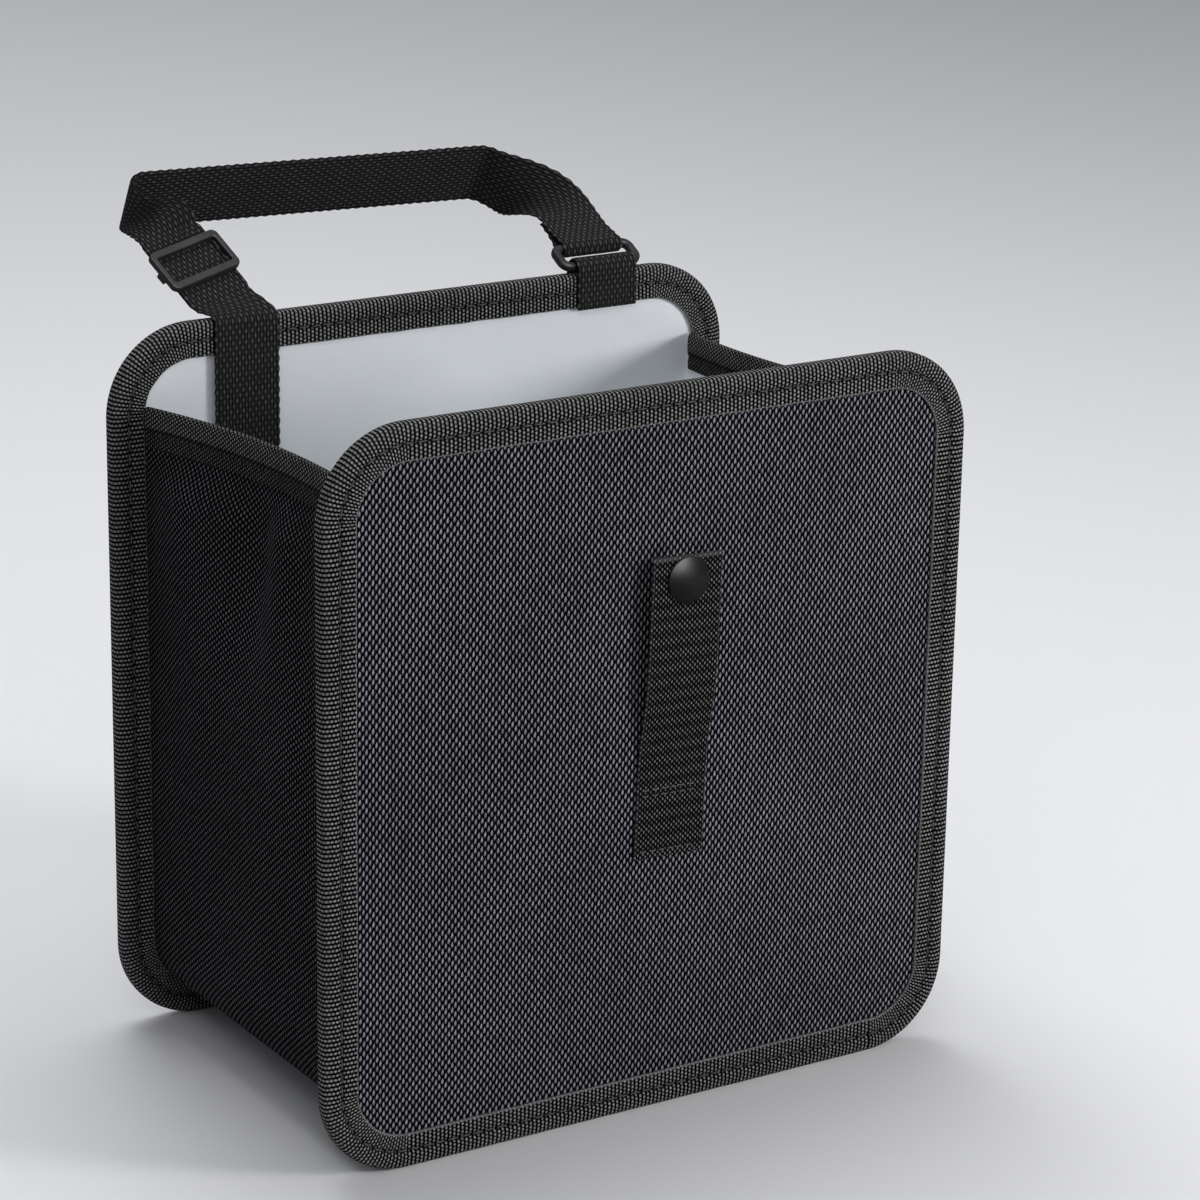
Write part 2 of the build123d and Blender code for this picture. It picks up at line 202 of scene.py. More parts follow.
# Stitches: (length, gap, thread radius), and the heights of their rows above a strap's foot
BINDING_STITCHES = (3.6, 1.0, 0.24)
HEM_STITCHES = (3.0, 1.0, 0.2)
CLOSURE_STITCHES = (2.6, 0.9, 0.26)
STRAP_STITCHES = (2.4, 0.9, 0.22)
CLOSURE_ROWS = (2.6, 21.6, 23.6)
STRAP_ROWS = (2.5, 9.5)
TAB_ROWS = (1.8, 4.2)
ROW_MARGIN = 3.0
THREAD_SIDES = 6
# One stitch as (share of its length, lift and thickness in thread radii)
THREAD_ARCH = ((0.0, -0.8, 0.5), (0.2, 0.25, 0.95), (0.5, 0.45, 1.0), (0.8, 0.25, 0.95), (1.0, -0.8, 0.5))


def at(x, y, z):
    """Point with its depth measured from the front binding's face."""
    return Vector((x, FRONT_Y + y, z))


def clamp(share):
    return min(1.0, max(0.0, share))


def ease(share):
    """Smooth change from 0 to 1, held at both ends."""
    share = clamp(share)
    return share * share * (3 - 2 * share)


def lengths(points, scale=MM):
    """Distance along a line of points, in metres unless another scale is given."""
    run = [0.0]
    for a, b in zip(points, points[1:]):
        run.append(run[-1] + (b - a).length * scale)
    return run


def outline_run(outline):
    """Distance along a flat outline of pairs, in millimetres."""
    run = [0.0]
    for a, b in zip(outline, outline[1:]):
        run.append(run[-1] + math.hypot(b[0] - a[0], b[1] - a[1]))
    return run


# Mesh building

def new_piece(name, points, faces):
    """Smooth object in the scene, from points in metres."""
    mesh = bpy.data.meshes.new(name)
    mesh.from_pydata(points, [], faces)
    for face in mesh.polygons:
        face.use_smooth = True
    piece = bpy.data.objects.new(name, mesh)
    bpy.context.scene.collection.objects.link(piece)
    return piece


def grid_mesh(name, rows, uv, wrap_rows=False, wrap_columns=False, capped=False):
    """Object from rows of points. uv(row, column) gives the cloth's own coordinates in metres."""
    count = len(rows)
    width = len(rows[0])
    points = [p * MM for row in rows for p in row]
    faces = []
    corners = []
    for i in range(count if wrap_rows else count - 1):
        for j in range(width if wrap_columns else width - 1):
            square = [(i, j), (i + 1, j), (i + 1, j + 1), (i, j + 1)]
            faces.append([(a % count) * width + b % width for a, b in square])
            corners += [uv(a, b) for a, b in square]
    if capped:
        for i, order in ((0, range(width)), (count - 1, reversed(range(width)))):
            end = list(order)
            faces.append([i * width + j for j in end])
            corners += [uv(i, j) for j in end]
    piece = new_piece(name, points, faces)
    layer = piece.data.uv_layers.new(name="cloth")
    for loop, corner in zip(layer.data, corners):
        loop.uv = corner
    piece.data.set_sharp_from_angle(angle=SHARP_ANGLE)
    return piece


def shell(name, outer, inner, uv):
    """Closed sheet from its outer and inner grids of points."""
    rows = [a + b[::-1] for a, b in zip(outer, inner)]
    width = len(outer[0])

    def both_sides(i, j):
        j = j % (2 * width)
        return uv(i, j if j < width else 2 * width - 1 - j)

    return grid_mesh(name, rows, both_sides, wrap_columns=True, capped=True)


def dress(piece, material, slot, *nodes):
    """Give a piece its material and the body it rides on, and hide the nodes it stands for. The slot is not
    used.
    """
    piece.data.materials.append(material)
    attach(piece, "root")
    if nodes:
        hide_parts(*nodes)
    return piece


# Materials. Lengths on cloth are in millimetres.
CLOTH_SPECULAR = 0.004
CROWN_LEAN = 0.22
CROSS_CLEAR = 0.6
WANDER_SCALE = 0.09
WANDER_SHARE = 0.35
FIBRE_STRETCH = (9.0, 1.6)
BASE_TONE = 0.5
CHANCE_TONE = 0.4
FIBRE_TONE = 0.5
TIP_TONE = 1.5
SLOW_SCALE = 0.012
SLOW_TONE = (0.86, 1.12)
CROSS_TONE = 0.8
CROSS_HEIGHT = 0.6
FIBRE_HEIGHT = 0.12
CLOTH_ROUGHNESS = 0.08
# Rolled edge of the binding tape painted paler: partly painted sheen, partly wear
ROLL_SHEEN_AND_WEAR_ENDS = (3.4, 5.6)
ROLL_SHEEN_AND_WEAR = 0.34
ROLL_SHEEN_AND_WEAR_TONE = 0.7
SELVAGE_PITCH = 3.0
SELVAGE_WAVE = 0.12
SELVAGE_EDGE = (0.45, 0.8)
SELVAGE_LIGHT = 0.6
# Hem tape is darker below its stitch line
BELOW_STITCH_EDGE = 0.6
BELOW_STITCH_TONE = 0.5
RIB_TONE = 0.95
RIB_DEPTH = 0.4
CLOSURE_TIP = (CLOSURE_LENGTH - 1.4, CLOSURE_LENGTH - 0.6)


class Shader:
    """Short ways to add nodes to one material."""

    def __init__(self, name, **settings):
        self.material = bpy.data.materials.new(name)
        self.material.use_nodes = True
        self.tree = self.material.node_tree
        self.surface = self.tree.nodes["Principled BSDF"]
        for socket, value in settings.items():
            self.surface.inputs[socket.replace("_", " ")].default_value = value

    def add(self, kind, **settings):
        node = self.tree.nodes.new(kind)
        for key, value in settings.items():
            setattr(node, key, value)
        return node

    def put(self, socket, value):
        if isinstance(value, bpy.types.NodeSocket):
            self.tree.links.new(value, socket)
        else:
            socket.default_value = value

    def set(self, socket, value):
        self.put(self.surface.inputs[socket], value)

    def math(self, operation, *values):
        node = self.add("ShaderNodeMath", operation=operation)
        for socket, value in zip(node.inputs, values):
            self.put(socket, value)
        return node.outputs[0]

    def plus(self, a, b):
        return self.math("ADD", a, b)

    def minus(self, a, b):
        return self.math("SUBTRACT", a, b)

    def times(self, a, b):
        return self.math("MULTIPLY", a, b)

    def mix(self, share, first, second):
        node = self.add("ShaderNodeMix", data_type="RGBA")
        self.put(node.inputs["Factor"], share)
        self.put(node.inputs[6], first)
        self.put(node.inputs[7], second)
        return node.outputs[2]

    def spread(self, value, low, high, new_low, new_high):
        """Smooth change from one range to another, held at both ends."""
        node = self.add("ShaderNodeMapRange", interpolation_type="SMOOTHSTEP")
        for socket, number in zip(node.inputs, (value, low, high, new_low, new_high)):
            self.put(socket, number)
        return node.outputs[0]

    def apart(self, value, place):
        """Distance of a value from a place."""
        return self.math("ABSOLUTE", self.minus(value, place))

    def waves(self, value, pitch):
        return self.math("SINE", self.times(value, 2 * math.pi / pitch))

    def cloth_coordinates(self):
        """Coordinates on the cloth in millimetres."""
        uv = self.add("ShaderNodeUVMap", uv_map="cloth")
        parts = self.add("ShaderNodeSeparateXYZ")
        self.put(parts.inputs[0], uv.outputs[0])
        return [self.math("DIVIDE", parts.outputs[i], MM) for i in (0, 1)]

    def place(self, u, v):
        node = self.add("ShaderNodeCombineXYZ")
        self.put(node.inputs[0], u)
        self.put(node.inputs[1], v)
        return node.outputs[0]

    def solid_coordinates(self):
        return self.add("ShaderNodeTexCoord").outputs["Object"]

    def noise(self, place, scale, detail=2.0, roughness=0.5):
        node = self.add("ShaderNodeTexNoise")
        self.put(node.inputs["Vector"], place)
        node.inputs["Scale"].default_value = scale
        node.inputs["Detail"].default_value = detail
        node.inputs["Roughness"].default_value = roughness
        return node.outputs[0]

    def bump(self, height, distance, under=None):
        node = self.add("ShaderNodeBump")
        self.put(node.inputs["Height"], height)
        node.inputs["Distance"].default_value = distance
        if under is not None:
            self.put(node.inputs["Normal"], under)
        return node.outputs[0]

    def weave(self, u, v, pitch, crown, taper):
        """Yarn crowns in columns with a half drop.

        Gives the crown, the one between, the column's round, a chance and the height in the crown.
        """
        column_at = self.math("DIVIDE", u, pitch[0])
        column = self.math("FLOOR", column_at)
        side = self.minus(self.minus(column_at, column), 0.5)
        drop = self.times(self.math("FLOORED_MODULO", column, 2.0), 0.5)
        row_at = self.plus(self.math("DIVIDE", v, pitch[1]), drop)
        row = self.math("FLOOR", row_at)
        along = self.minus(self.minus(row_at, row), 0.5)
        between = self.minus(0.5, self.math("ABSOLUTE", along))
        height = self.math("DIVIDE", along, crown[1] / pitch[1])
        side = self.minus(side, self.times(height, CROWN_LEAN * taper))
        slim = self.minus(1.0, self.times(height, taper))
        half = self.times(slim, crown[0] / pitch[0])
        wide = self.math("POWER", self.math("DIVIDE", self.math("ABSOLUTE", side), half), 2.0)
        crowns = []
        for place, reach in ((along, crown[1]), (between, pitch[1] / 2 - crown[1] * CROSS_CLEAR)):
            share = self.math("DIVIDE", self.math("ABSOLUTE", place), reach / pitch[1])
            tall = self.math("POWER", share, 2.0)
            left = self.minus(1.0, self.plus(wide, tall))
            crowns.append(self.math("SQRT", self.math("MAXIMUM", left, 0.0)))
        chance = self.add("ShaderNodeTexWhiteNoise", noise_dimensions="2D")
        self.put(chance.inputs["Vector"], self.place(column, row))
        bar = self.math("SQRT", self.math("MAXIMUM", self.minus(1.0, wide), 0.0))
        return crowns[0], crowns[1], bar, chance.outputs["Value"], height


def woven(name, gap, yarn, cross, pitch, crown, relief, roughness, swap=False, taper=0.0, finish=None):
    """Woven cloth: pale yarn crowns over near-black gaps, whose darkness is partly the cloth's own and partly
    painted shade between the yarns, with uneven yarns and slow changes of tone.
    """
    s = Shader(name, Specular_IOR_Level=CLOTH_SPECULAR)
    along, across = s.cloth_coordinates()
    u, v = (across, along) if swap else (along, across)
    wander = s.noise(s.place(u, v), WANDER_SCALE, 3.0)
    shift = s.times(s.minus(wander, 0.5), WANDER_SHARE * pitch[0])
    top, low, bar, chance, up = s.weave(s.plus(u, shift), s.plus(v, shift), pitch, crown, taper)
    stretched = [s.times(value, share) for value, share in zip((u, v), FIBRE_STRETCH)]
    fibres = s.noise(s.place(*stretched), 1.0, 2.0)
    tone = s.plus(s.times(chance, CHANCE_TONE), s.times(fibres, FIBRE_TONE))
    tone = s.plus(tone, s.times(up, TIP_TONE * taper))
    light = s.times(top, s.plus(BASE_TONE, tone))
    if finish is not None:
        light = finish(s, light, bar, along, across)
    slow = s.spread(s.noise(s.place(u, v), SLOW_SCALE, 2.0), 0.3, 0.7, *SLOW_TONE)
    light = s.times(light, slow)
    # Near-black gaps between the crowns: partly the cloth's own gaps, partly painted shade
    colour = s.mix(s.times(low, CROSS_TONE), gap, cross)
    colour = s.mix(light, colour, yarn)
    s.set("Base Color", colour)
    rough = s.spread(fibres, 0.2, 0.8, roughness - CLOTH_ROUGHNESS, roughness + CLOTH_ROUGHNESS)
    s.set("Roughness", rough)
    height = s.math("MAXIMUM", top, s.times(low, CROSS_HEIGHT))
    height = s.plus(height, s.times(fibres, FIBRE_HEIGHT))
    s.set("Normal", s.bump(height, relief * MM))
    return s.material


def tape_finish(s, light, bar, along, across):
    """Paler rolled edge, partly painted sheen and partly wear, painted shade in the stitched groove and a
    pale selvage thread.
    """
    from_fold = s.apart(across, TAPE_FOLD)
    # Painted sheen, partly wear, makes the rolled edge of the tape paler
    rolled = s.times(bar, s.spread(from_fold, *ROLL_SHEEN_AND_WEAR_ENDS, ROLL_SHEEN_AND_WEAR, 0.0))
    rolled = s.times(rolled, s.plus(ROLL_SHEEN_AND_WEAR_TONE, light))
    light = s.math("MAXIMUM", light, rolled)
    # Painted shade darkens the tape along its stitched groove
    groove = s.apart(from_fold, TAPE_STITCH)
    light = s.times(light, s.spread(groove, 0.2, 1.1, 0.2, 1.0))
    edge = s.minus(TAPE_FOLD, from_fold)
    wave = s.times(s.waves(along, SELVAGE_PITCH), SELVAGE_WAVE)
    selvage = s.spread(s.plus(edge, wave), *SELVAGE_EDGE, SELVAGE_LIGHT, 0.0)
    return s.math("MAXIMUM", light, selvage)


def hem_finish(s, light, bar, along, across):
    """Painted shade in the stitched groove, and the tape darker below its stitch line."""
    from_fold = s.apart(across, HEM_FOLD)
    below = s.spread(from_fold, HEM_STITCH - BELOW_STITCH_EDGE, HEM_STITCH + BELOW_STITCH_EDGE, 1.0, BELOW_STITCH_TONE)
    # Painted shade darkens the hem tape along its stitched groove
    groove = s.apart(from_fold, HEM_STITCH)
    return s.times(light, s.times(below, s.spread(groove, 0.2, 1.0, 0.3, 1.0)))


def closure_finish(s, light, bar, along, across):
    """Cross ribs, pale selvages and a pale folded tip."""
    ribs = s.times(s.waves(along, CLOSURE_RIB), RIB_DEPTH)
    light = s.times(light, s.plus(RIB_TONE, ribs))
    edge = s.minus(CLOSURE_WIDTH / 2, s.math("ABSOLUTE", across))
    selvage = s.times(s.spread(edge, 0.5, 1.1, 0.3, 0.0), s.plus(0.4, light))
    tip = s.times(s.spread(along, *CLOSURE_TIP, 0.0, 0.9), s.plus(0.35, light))
    return s.math("MAXIMUM", light, s.math("MAXIMUM", selvage, tip))


def film(name, colour, stain):
    """Coated lining: satin film with fine emboss, soft dents and faint marks."""
    s = Shader(name, Specular_IOR_Level=0.2, Coat_Weight=0.05, Coat_Roughness=0.35)
    place = s.solid_coordinates()
    marks = s.noise(place, 14.0, 4.0, 0.6)
    grain = s.noise(place, 900.0, 2.0)
    dents = s.noise(place, 30.0, 2.0)
    s.set("Base Color", s.mix(s.spread(marks, 0.35, 0.75, 0.0, 0.5), colour, stain))
    s.set("Roughness", s.spread(marks, 0.3, 0.7, 0.42, 0.56))
    soft = s.bump(dents, 0.9 * MM)
    s.set("Normal", s.bump(grain, 0.03 * MM, soft))
    return s.material


def moulded(name, colour, worn, roughness, grain_scale, grain_depth, metallic=0.0, specular=0.5):
    """Moulded or lacquered hard part with fine grain and slightly worn tone."""
    s = Shader(name, Metallic=metallic, Specular_IOR_Level=specular)
    place = s.solid_coordinates()
    grain = s.noise(place, grain_scale, 3.0)
    handling = s.noise(place, 120.0, 3.0, 0.6)
    rub = s.spread(handling, 0.45, 0.8, 0.0, 0.6)
    s.set("Base Color", s.mix(rub, colour, worn))
    s.set("Roughness", s.spread(handling, 0.3, 0.7, roughness - 0.06, roughness + 0.08))
    s.set("Normal", s.bump(grain, grain_depth * MM))
    return s.material


# Panels

def half_width(height, inset):
    """Half the panel's width at a height, inside its rounded outline."""
    radius = CORNER_RADIUS - inset
    half = PANEL_WIDTH / 2 - inset
    from_middle = abs(height - PANEL_HEIGHT / 2)
    over = from_middle - (PANEL_HEIGHT / 2 - CORNER_RADIUS)
    if over <= 0:
        return half
    return half - radius + math.sqrt(max(0.0, radius**2 - over**2))


def row_heights(inset, step):
    """Heights for the rows of a panel sheet, closer together round the corners."""
    corner = [math.radians(90 * i / SHEET_TURNS) for i in range(SHEET_TURNS + 1)]
    radius = CORNER_RADIUS - inset
    low = [CORNER_RADIUS - radius * math.cos(a) for a in corner]
    straight_part = PANEL_HEIGHT - 2 * CORNER_RADIUS
    count = round(straight_part / step)
    middle = [CORNER_RADIUS + straight_part * i / count for i in range(1, count)]
    return low + middle + [PANEL_HEIGHT - z for z in reversed(low)]


def swell_at(x, z, puff, seed):
    """Slight unevenness of a panel sheet, none at its rim."""
    from_rim = min(half_width(z, SHEET_RIM) - abs(x), z - SHEET_RIM, PANEL_HEIGHT - SHEET_RIM - z)
    place = Vector((x / SWELL_SIZE, z / SWELL_SIZE, seed))
    return puff * clamp(from_rim / SHEET_RIM_FADE) * noise.noise(place)


def panel_sheet(name, near, far, puff, seed):
    """Rounded sheet of a panel between two depths, very slightly uneven over its board."""
    outer, inner = [], []
    for z in row_heights(SHEET_INSET, SHEET_STEP):
        half = half_width(z, SHEET_INSET)
        across = [half * (2 * j / SHEET_COLUMNS - 1) for j in range(SHEET_COLUMNS + 1)]
        swell = [swell_at(x, z, puff, seed) for x in across]
        outer.append([at(x, near + d, z) for x, d in zip(across, swell)])
        inner.append([at(x, far + d, z) for x, d in zip(across, swell)])

    def uv(i, j):
        p = outer[i][j]
        return (p.x * MM, p.z * MM)

    return shell(name, outer, inner, uv)


def panel_path():
    """Points round the panel's edge from its lower right corner: (x, z, outward x, outward z)."""
    half = PANEL_WIDTH / 2 - CORNER_RADIUS
    tall = PANEL_HEIGHT - CORNER_RADIUS
    corners = [(half, CORNER_RADIUS, -90), (half, tall, 0), (-half, tall, 90), (-half, CORNER_RADIUS, 180)]
    path = []
    for k, (x, z, start) in enumerate(corners):
        for i in range(CORNER_TURNS + 1):
            a = math.radians(start + 90 * i / CORNER_TURNS)
            out_x, out_z = math.cos(a), math.sin(a)
            path.append((x + CORNER_RADIUS * out_x, z + CORNER_RADIUS * out_z, out_x, out_z))
        next_x, next_z, next_start = corners[(k + 1) % 4]
        out_x = math.cos(math.radians(next_start))
        out_z = math.sin(math.radians(next_start))
        x0, z0 = path[-1][:2]
        x1, z1 = next_x + CORNER_RADIUS * out_x, next_z + CORNER_RADIUS * out_z
        for i in range(1, EDGE_STEPS):
            t = i / EDGE_STEPS
            path.append((x0 + (x1 - x0) * t, z0 + (z1 - z0) * t, out_x, out_z))
    return path


# Binding tape

def tape_profile():
    """Closed outline of the folded tape as (inset from the edge, depth from the outer face)."""
    leg = [(BINDING_WIDTH, 0.35), (BINDING_WIDTH - 0.2, 0.05), (BINDING_WIDTH - 0.6, -EDGE_PUFF)]
    outer_span = BINDING_WIDTH - 0.6 - STITCH_INSET
    for t in (0.75, 0.5, 0.25):
        leg.append((STITCH_INSET + outer_span * t, -EDGE_PUFF * math.sin(math.pi * t) ** 0.5))
    for aside, share in ((0.5, 0.6), (0.0, 1.0), (-0.5, 0.6)):
        leg.append((STITCH_INSET + aside, STITCH_SINK * share))
    roll_span = STITCH_INSET - BINDING_ROUND
    for t in (0.25, 0.4, 0.55, 0.7, 0.85):
        leg.append((STITCH_INSET - roll_span * t, -TAPE_PUFF * math.sin(math.pi * t)))
    fold = []
    for i in range(5):
        a = math.radians(90 * i / 4)
        fold.append((BINDING_ROUND * (1 - math.sin(a)), BINDING_ROUND * (1 - math.cos(a))))
    half = leg + fold
    outer = half + [(d, PANEL_EDGE - y) for d, y in reversed(half)]
    far = PANEL_EDGE - TAPE
    inner = [(BINDING_WIDTH, far), (TAPE, far), (TAPE, TAPE), (BINDING_WIDTH, TAPE)]
    return outer, inner


outer_tape, inner_tape = tape_profile()
tape_run = outline_run(outer_tape)
TAPE_FOLD = tape_run[-1] / 2
TAPE_STITCH = TAPE_FOLD - tape_run[outer_tape.index((STITCH_INSET, STITCH_SINK))]


def under_webbing(x):
    """1 where the strap or the ring's tab presses the tape flat, 0 clear of them."""
    away = min(abs(x - STRAP_X), abs(x - RING_X)) - STRAP_WIDTH / 2
    return 1 - ease((away - PRESS_CLEAR) / PRESS_FADE)


def binding(name, from_back):
    """Tape round one panel, with its legs slightly uneven along its length."""
    path = panel_path()
    run = outline_run(path + path[:1])
    seed = 3.0 if from_back else 7.0
    rows = []
    for x, z, out_x, out_z in path:
        ring = []
        uneven = TAPE_UNEVEN * noise.noise(Vector((x / TAPE_UNEVEN_SIZE, z / TAPE_UNEVEN_SIZE, seed)))
        for k, (d, y) in enumerate(outer_tape + inner_tape):
            if k < len(outer_tape) and d > BINDING_ROUND:
                d = d + uneven * (d / BINDING_WIDTH)
            if from_back and z > PANEL_HEIGHT - CORNER_RADIUS:
                lift = max(0.0, -y, y - PANEL_EDGE) * under_webbing(x)
                y += math.copysign(lift, PANEL_EDGE / 2 - y)
            depth = DEPTH - y if from_back else y
            ring.append(at(x - out_x * d, depth, z - out_z * d))
        rows.append(ring)

    def uv(i, j):
        j = j % len(rows[0])
        across = tape_run[j] if j < len(tape_run) else tape_run[-1]
        return (run[i] * MM, across * MM)

    return grid_mesh(name, rows, uv, wrap_rows=True, wrap_columns=True)


# Side walls and base in one strip

def wall_top(y):
    share = (y - PANEL_INSIDE) / (DEPTH - 2 * PANEL_INSIDE)
    return GUSSET_TOP_FRONT + (GUSSET_TOP_BACK - GUSSET_TOP_FRONT) * share


def bump_at(y, centre, reach):
    return math.exp(-(((y - centre) / reach) ** 2))


def inward(y, z):
    """How far a side wall is pulled in: a smooth hollow along the hem, a fold and a soft belly below."""
    seam = ease((y - PANEL_INSIDE) / SEAM_FADE) * ease((DEPTH - PANEL_INSIDE - y) / SEAM_FADE)
    fold = bump_at(y, CREASE_Y, CREASE_REACH_FRONT if y < CREASE_Y else CREASE_REACH_BACK)
    for strength, distance, reach in SIDE_FOLDS:
        fold += strength * bump_at(y, CREASE_Y + distance, reach)
    deep = CREASE_DEPTH * ease((z - CREASE_FOOT + CREASE_START) / CREASE_RISE)
    belly = BELLY * bump_at(z, BELLY_HEIGHT, BELLY_REACH)
    belly *= ease((y - BELLY_MARGIN) / BELLY_FADE) * ease((DEPTH - BELLY_MARGIN - y) / BELLY_FADE)
    loose = (deep * fold - belly) * seam
    across = (y - MIDDLE) / (MIDDLE - PANEL_INSIDE)
    hollow = HEM_DEPTH * max(0.0, 1 - across * across)
    under_hem = wall_top(y) - HEM_WIDTH - z
    return hollow + (loose - hollow) * ease((under_hem + HEM_BLEND) / HEM_FADE)


def wall_slack(y, z, side):
    """Small soft folds of the unsupported cloth, fading out at its seams."""
    free = clamp(min(y - PANEL_EDGE, DEPTH - PANEL_EDGE - y) / SLACK_FADE)
    free *= clamp((wall_top(y) - HEM_WIDTH - z) / HEM_FADE) * min(1.0, z / SLACK_FOOT)
    wide, tall = SLACK_SLOW_SIZE
    slow = noise.noise(Vector((y / wide, z / tall, 5.0 * side)))
    wide, tall = SLACK_FOLD_SIZE
    fold = noise.noise(Vector(((y + SLACK_LEAN * z) / wide, z / tall, 9.0 * side)))
    return free * (SLACK_SLOW * slow + SLACK_FOLD * fold)


def wall_x(y, z, half, side):
    """Distance of a side wall from the middle plane."""
    return half - inward(y, z) + wall_slack(y, z, side)


def strip_stations():
    """Places along the strip from the left top to the right top: (side, kind, share)."""
    parts = (("upper", UPPER_STEPS), ("lower", LOWER_STEPS), ("corner", ROUND_STEPS))
    side = [(kind, i / steps) for kind, steps in parts for i in range(steps)]
    base = [("base", i / BASE_STEPS) for i in range(BASE_STEPS + 1)]
    return [(-1, *p) for p in side] + [(0, *p) for p in base] + [(1, *p) for p in reversed(side)]


def strip_point(station, y, inset):
    side, kind, share = station
    half = PANEL_WIDTH / 2 - inset
    radius = CORNER_RADIUS - inset
    if kind == "base":
        return at((half - radius) * (2 * share - 1), y, inset)
    if kind == "corner":
        a = math.radians(90 * share)
        return at(side * (half - radius * (1 - math.cos(a))), y, CORNER_RADIUS - radius * math.sin(a))
    if kind == "upper":
        z = wall_top(y) + (CREASE_FOOT - wall_top(y)) * share
    else:
        z = CREASE_FOOT + (CORNER_RADIUS - CREASE_FOOT) * share
    return at(side * wall_x(y, z, half, side), y, z)


def strip(name, inset, thickness):
    """Left wall, base and right wall as one sheet between the two seams."""
    stations = strip_stations()
    depths = [PANEL_INSIDE + (DEPTH - 2 * PANEL_INSIDE) * i / DEPTH_STEPS for i in range(DEPTH_STEPS + 1)]
    outer = [[strip_point(s, y, inset) for y in depths] for s in stations]
    inner = [[strip_point(s, y, inset + thickness) for y in depths] for s in stations]
    run = lengths([row[len(depths) // 2] for row in outer])
    piece = shell(name, outer, inner, lambda i, j: (depths[j] * MM, run[i]))
    return piece, ((DEPTH - 2 * PANEL_INSIDE) * MM, run[-1])


# Hems

def hem_outline():
    """Folded tape as (distance out of the wall, distance below its top edge)."""
    outside = [(0.5, HEM_WIDTH), (HEM, HEM_WIDTH - 0.3), (HEM, HEM_STITCH + 1.4), (0.35, HEM_STITCH)]
    outside += [(HEM + 0.15, HEM_STITCH - 1.4), (HEM + 0.3, HEM_STITCH - 4), (HEM + 0.2, 1.2), (0.3, -0.4)]
    centre = -(CLOTH + LINING) / 2
    return outside + [(centre, -HEM)] + [(2 * centre - o, d) for o, d in reversed(outside)]


hem_run = outline_run(hem_outline())
HEM_FOLD = hem_run[-1] / 2
hem_depths = [PANEL_EDGE + (DEPTH - 2 * PANEL_EDGE) * i / HEM_STEPS for i in range(HEM_STEPS + 1)]


def hem_point(side, y, out, below):
    """Point so far out of a side wall's cloth and below its top edge."""
    z = wall_top(y) - below
    return at(side * (wall_x(y, z, WALL_HALF, side) + out), y, z)


def hem(name, side):
    """Tape folded over the top edge of a side wall."""
    inside = -(CLOTH + LINING) - CONTACT
    under = [(inside, HEM_WIDTH), (inside, 0.0), (CONTACT, 0.0), (CONTACT, HEM_WIDTH)]
    rows = [[hem_point(side, y, o, d) for o, d in hem_outline() + under] for y in hem_depths]
    run = lengths([row[0] for row in rows])

    def uv(i, j):
        j = j % len(rows[0])
        return (run[i], (hem_run[j] if j < len(hem_run) else hem_run[-1]) * MM)

    return grid_mesh(name, rows, uv, wrap_columns=True, capped=True), (hem_run[-1] * MM, run[-1])


# Webbing follows lines of frames: (point, direction along, direction across)

def unit(v):
    return v.normalized()


def blend_across(first, last, share):
    angle = first.angle(last, 0.0)
    if angle < 1e-6:
        return first.copy()
    return unit(first * math.sin((1 - share) * angle) + last * math.sin(share * angle))


def curve(p0, m0, p1, m1, t):
    """Point of a smooth curve from its ends and the directions there."""
    point = p0 * (2 * t**3 - 3 * t**2 + 1) + m0 * (t**3 - 2 * t**2 + t)
    return point + p1 * (3 * t**2 - 2 * t**3) + m1 * (t**3 - t**2)


def twist(first, last, steps, lead=1.0):
    """Smooth twisted stretch of webbing from one frame to another; a lead below 1 turns it sooner."""
    p0, d0, a0 = first
    p1, d1, a1 = last
    reach = (p1 - p0).length
    m0, m1 = unit(d0) * reach, unit(d1) * reach
    frames = [first]
    for i in range(1, steps):
        t = i / steps
        along = p0 * (6 * t**2 - 6 * t) + m0 * (3 * t**2 - 4 * t + 1)
        along = along + p1 * (6 * t - 6 * t**2) + m1 * (3 * t**2 - 2 * t)
        frames.append((curve(p0, m0, p1, m1, t), unit(along), blend_across(a0, a1, ease(t**lead))))
    return frames + [last]


def cut_corner(frames, first, last, fade, rise):
    """Let the lower edge go the short way between two frames, lifted at the last and let down after it."""
    half = STRAP_WIDTH / 2
    p0, d0, a0 = frames[first]
    p1, d1, a1 = frames[last]
    start, end = p0 - a0 * half, p1 - a1 * (half - rise)
    reach = (end - start).length
    m0, m1 = unit(d0) * (reach * 0.5), unit(d1) * (reach * 0.3)
    upper = [p + a * half for p, d, a in frames[first:last + 1]]
    run = lengths(upper)
    low = [curve(start, m0, end, m1, s / run[-1]) for s in run]
    for i in range(1, fade + 1):
        p, d, a = frames[last + i]
        upper.append(p + a * half)
        low.append(p - a * (half - rise * (1 - ease(i / fade))))
    for i, (top, bottom) in enumerate(zip(upper, low)):
        frames[first + i] = ((top + bottom) / 2, frames[first + i][1], (top - bottom) / (2 * half))
    return frames


def straight(first, last, steps):
    """Evenly spaced frames between two frames of one straight stretch."""
    return [(first[0].lerp(last[0], i / steps), first[1], first[2]) for i in range(steps + 1)]


def respaced(frames, step):
    """The same line of frames at even steps."""
    run = lengths([f[0] for f in frames])
    count = max(1, round(run[-1] / (step * MM)))
    spaced = []
    k = 0
    for i in range(count + 1):
        goal = run[-1] * i / count
        while k < len(frames) - 2 and run[k + 1] < goal:
            k += 1
        share = clamp((goal - run[k]) / max(1e-9, run[k + 1] - run[k]))
        (p0, d0, a0), (p1, d1, a1) = frames[k], frames[k + 1]
        spaced.append((p0.lerp(p1, share), unit(d0.lerp(d1, share)), a0.lerp(a1, share)))
    return spaced


